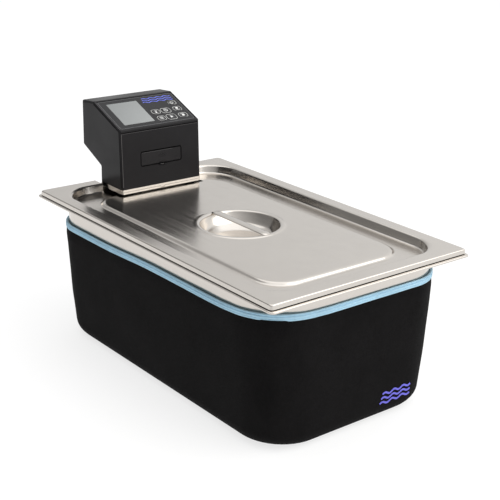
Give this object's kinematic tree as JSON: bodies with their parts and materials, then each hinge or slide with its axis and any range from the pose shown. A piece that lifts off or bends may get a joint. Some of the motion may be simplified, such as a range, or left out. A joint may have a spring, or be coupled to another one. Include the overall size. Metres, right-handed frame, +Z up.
{
  "type": "sous vide circulator",
  "caption": "Sous vide set: steel bath pan with notched lid, foam jacket and a rim-clamped immersion circulator with a sloped keypad, pump and heater.",
  "frame": {"origin": "on the floor under the middle of the pan", "axes": "+Z up, +Y towards the circulator end, +X to the left when looking at the back of the circulator, that is, to the right when looking along +Y"},
  "size_m": [0.325, 0.5682, 0.3261],
  "materials": {
    "steel_satin": "satin stainless steel",
    "neoprene": "black neoprene foam with knit facing",
    "binding": "light blue edge binding",
    "housing_plastic": "satin black moulded plastic",
    "inlet_plastic": "black moulded plastic",
    "overlay_film": "semi-gloss black panel film",
    "display": "blank reflective grey display",
    "module_metal": "stamped frame",
    "circuit_board": "green circuit board",
    "switch_metal": "tinned",
    "key_plastic": "black keycap with white outline",
    "rocker_plastic": "black rocker",
    "core_iron": "varnished laminations",
    "aluminium": "extruded fins",
    "zinc_steel": "zinc plated",
    "bearing_steel": "bright steel",
    "fan_plastic": "black nylon",
    "gasket_rubber": "silicone seal",
    "pad_rubber": "ribbed rubber",
    "heater_steel": "polished heater sheath",
    "pump_plastic": "filled nylon",
    "impeller_plastic": "acetal",
    "float_plastic": "foamed polypropylene"
  },
  "bodies": {
    "jacket": {"jacket_body": "neoprene", "jacket_binding": "binding"},
    "pan": {"pan": "steel_satin"},
    "lid": {"lid_shell": "steel_satin", "lid_handle": "steel_satin"},
    "pump_rotor": {"drive_shaft": "bearing_steel", "cooling_fan": "fan_plastic", "impeller": "impeller_plastic"},
    "float": {"float_ring": "float_plastic"},
    "flap": {"front_flap": "housing_plastic"},
    "rocker": {"power_rocker": "rocker_plastic"},
    "clamp_pad": {"clamp_pad": "pad_rubber"},
    "clamp_screw": {"clamp_screw": "bearing_steel", "clamp_knob": "housing_plastic"},
    "key_power": {"key_power": "key_plastic"},
    "key_temp": {"key_temp": "key_plastic"},
    "key_time": {"key_time": "key_plastic"},
    "key_up": {"key_up": "key_plastic"},
    "key_mode": {"key_mode": "key_plastic"},
    "key_start": {"key_start": "key_plastic"},
    "key_down": {"key_down": "key_plastic"},
    "circulator": {"base_tray": "steel_satin", "shroud": "steel_satin", "head_housing": "housing_plastic", "rear_cover": "housing_plastic", "switch_frame": "housing_plastic", "mains_inlet": "inlet_plastic", "control_overlay": "overlay_film", "lcd_window": "display", "lcd_module": "module_metal", "control_board": "circuit_board", "power_board": "circuit_board", "key_switches": "switch_metal", "transformer": "core_iron", "triac_heatsink": "aluminium", "motor_can": "zinc_steel", "motor_bracket": "zinc_steel", "shaft_bearings": "bearing_steel", "motor_screws": "bearing_steel", "base_gasket": "gasket_rubber", "tray_screws": "bearing_steel", "rear_screws": "bearing_steel", "flap_pin": "bearing_steel", "clamp_bracket": "steel_satin", "clamp_bracket_screws": "bearing_steel", "shroud_screws": "bearing_steel", "heater_coil": "heater_steel", "pump_column": "pump_plastic", "volute": "pump_plastic", "volute_cover": "pump_plastic", "outlet_nozzle": "pump_plastic", "temp_probe": "bearing_steel", "float_stem": "bearing_steel"}
  },
  "joints": [
    {"name": "pan_lift", "type": "slide", "parent": "jacket", "child": "pan", "axis": [0, 0, 1], "range_m": [0, 0.2]},
    {"name": "lid_lift", "type": "slide", "parent": "pan", "child": "lid", "axis": [0, 0, 1], "range_m": [0, 0.15]},
    {"name": "circulator_lift", "type": "slide", "parent": "pan", "child": "circulator", "axis": [0, 0, 1], "range_m": [0, 0.17]},
    {"name": "pump_spin", "type": "hinge", "parent": "circulator", "child": "pump_rotor", "pos_m": [0.00391, 0.21809, 0.1956], "axis": [0, 0, 1], "continuous": true},
    {"name": "float_rise", "type": "slide", "parent": "circulator", "child": "float", "axis": [0, 0, 1], "range_m": [0, 0.014]},
    {"name": "flap_swing", "type": "hinge", "parent": "circulator", "child": "flap", "pos_m": [0.00391, 0.19498, 0.26021], "axis": [-1, 0, 0], "range_deg": [0, 95]},
    {"name": "rocker_tilt", "type": "hinge", "parent": "circulator", "child": "rocker", "pos_m": [0.00782, 0.29438, 0.29047], "axis": [-1, 0, 0], "range_deg": [0, 16]},
    {"name": "clamp_travel", "type": "slide", "parent": "circulator", "child": "clamp_pad", "axis": [0, 1, 0], "range_m": [0, 0.006]},
    {"name": "clamp_turn", "type": "hinge", "parent": "clamp_pad", "child": "clamp_screw", "pos_m": [0.00391, 0.28362, 0.20147], "axis": [0, 1, 0], "range_deg": [0, 1100]},
    {"name": "key_power_press", "type": "slide", "parent": "circulator", "child": "key_power", "axis": [0, 0.3725, -0.928], "range_m": [0, 0.0005], "stiffness_N_per_m": 1500},
    {"name": "key_temp_press", "type": "slide", "parent": "circulator", "child": "key_temp", "axis": [0, 0.3725, -0.928], "range_m": [0, 0.0005], "stiffness_N_per_m": 1500},
    {"name": "key_time_press", "type": "slide", "parent": "circulator", "child": "key_time", "axis": [0, 0.3725, -0.928], "range_m": [0, 0.0005], "stiffness_N_per_m": 1500},
    {"name": "key_up_press", "type": "slide", "parent": "circulator", "child": "key_up", "axis": [0, 0.3725, -0.928], "range_m": [0, 0.0005], "stiffness_N_per_m": 1500},
    {"name": "key_mode_press", "type": "slide", "parent": "circulator", "child": "key_mode", "axis": [0, 0.3725, -0.928], "range_m": [0, 0.0005], "stiffness_N_per_m": 1500},
    {"name": "key_start_press", "type": "slide", "parent": "circulator", "child": "key_start", "axis": [0, 0.3725, -0.928], "range_m": [0, 0.0005], "stiffness_N_per_m": 1500},
    {"name": "key_down_press", "type": "slide", "parent": "circulator", "child": "key_down", "axis": [0, 0.3725, -0.928], "range_m": [0, 0.0005], "stiffness_N_per_m": 1500}
  ],
  "couplings": [
    {"joint": "clamp_turn", "follows": "clamp_travel", "rad_per_m": 3141.6}
  ]
}
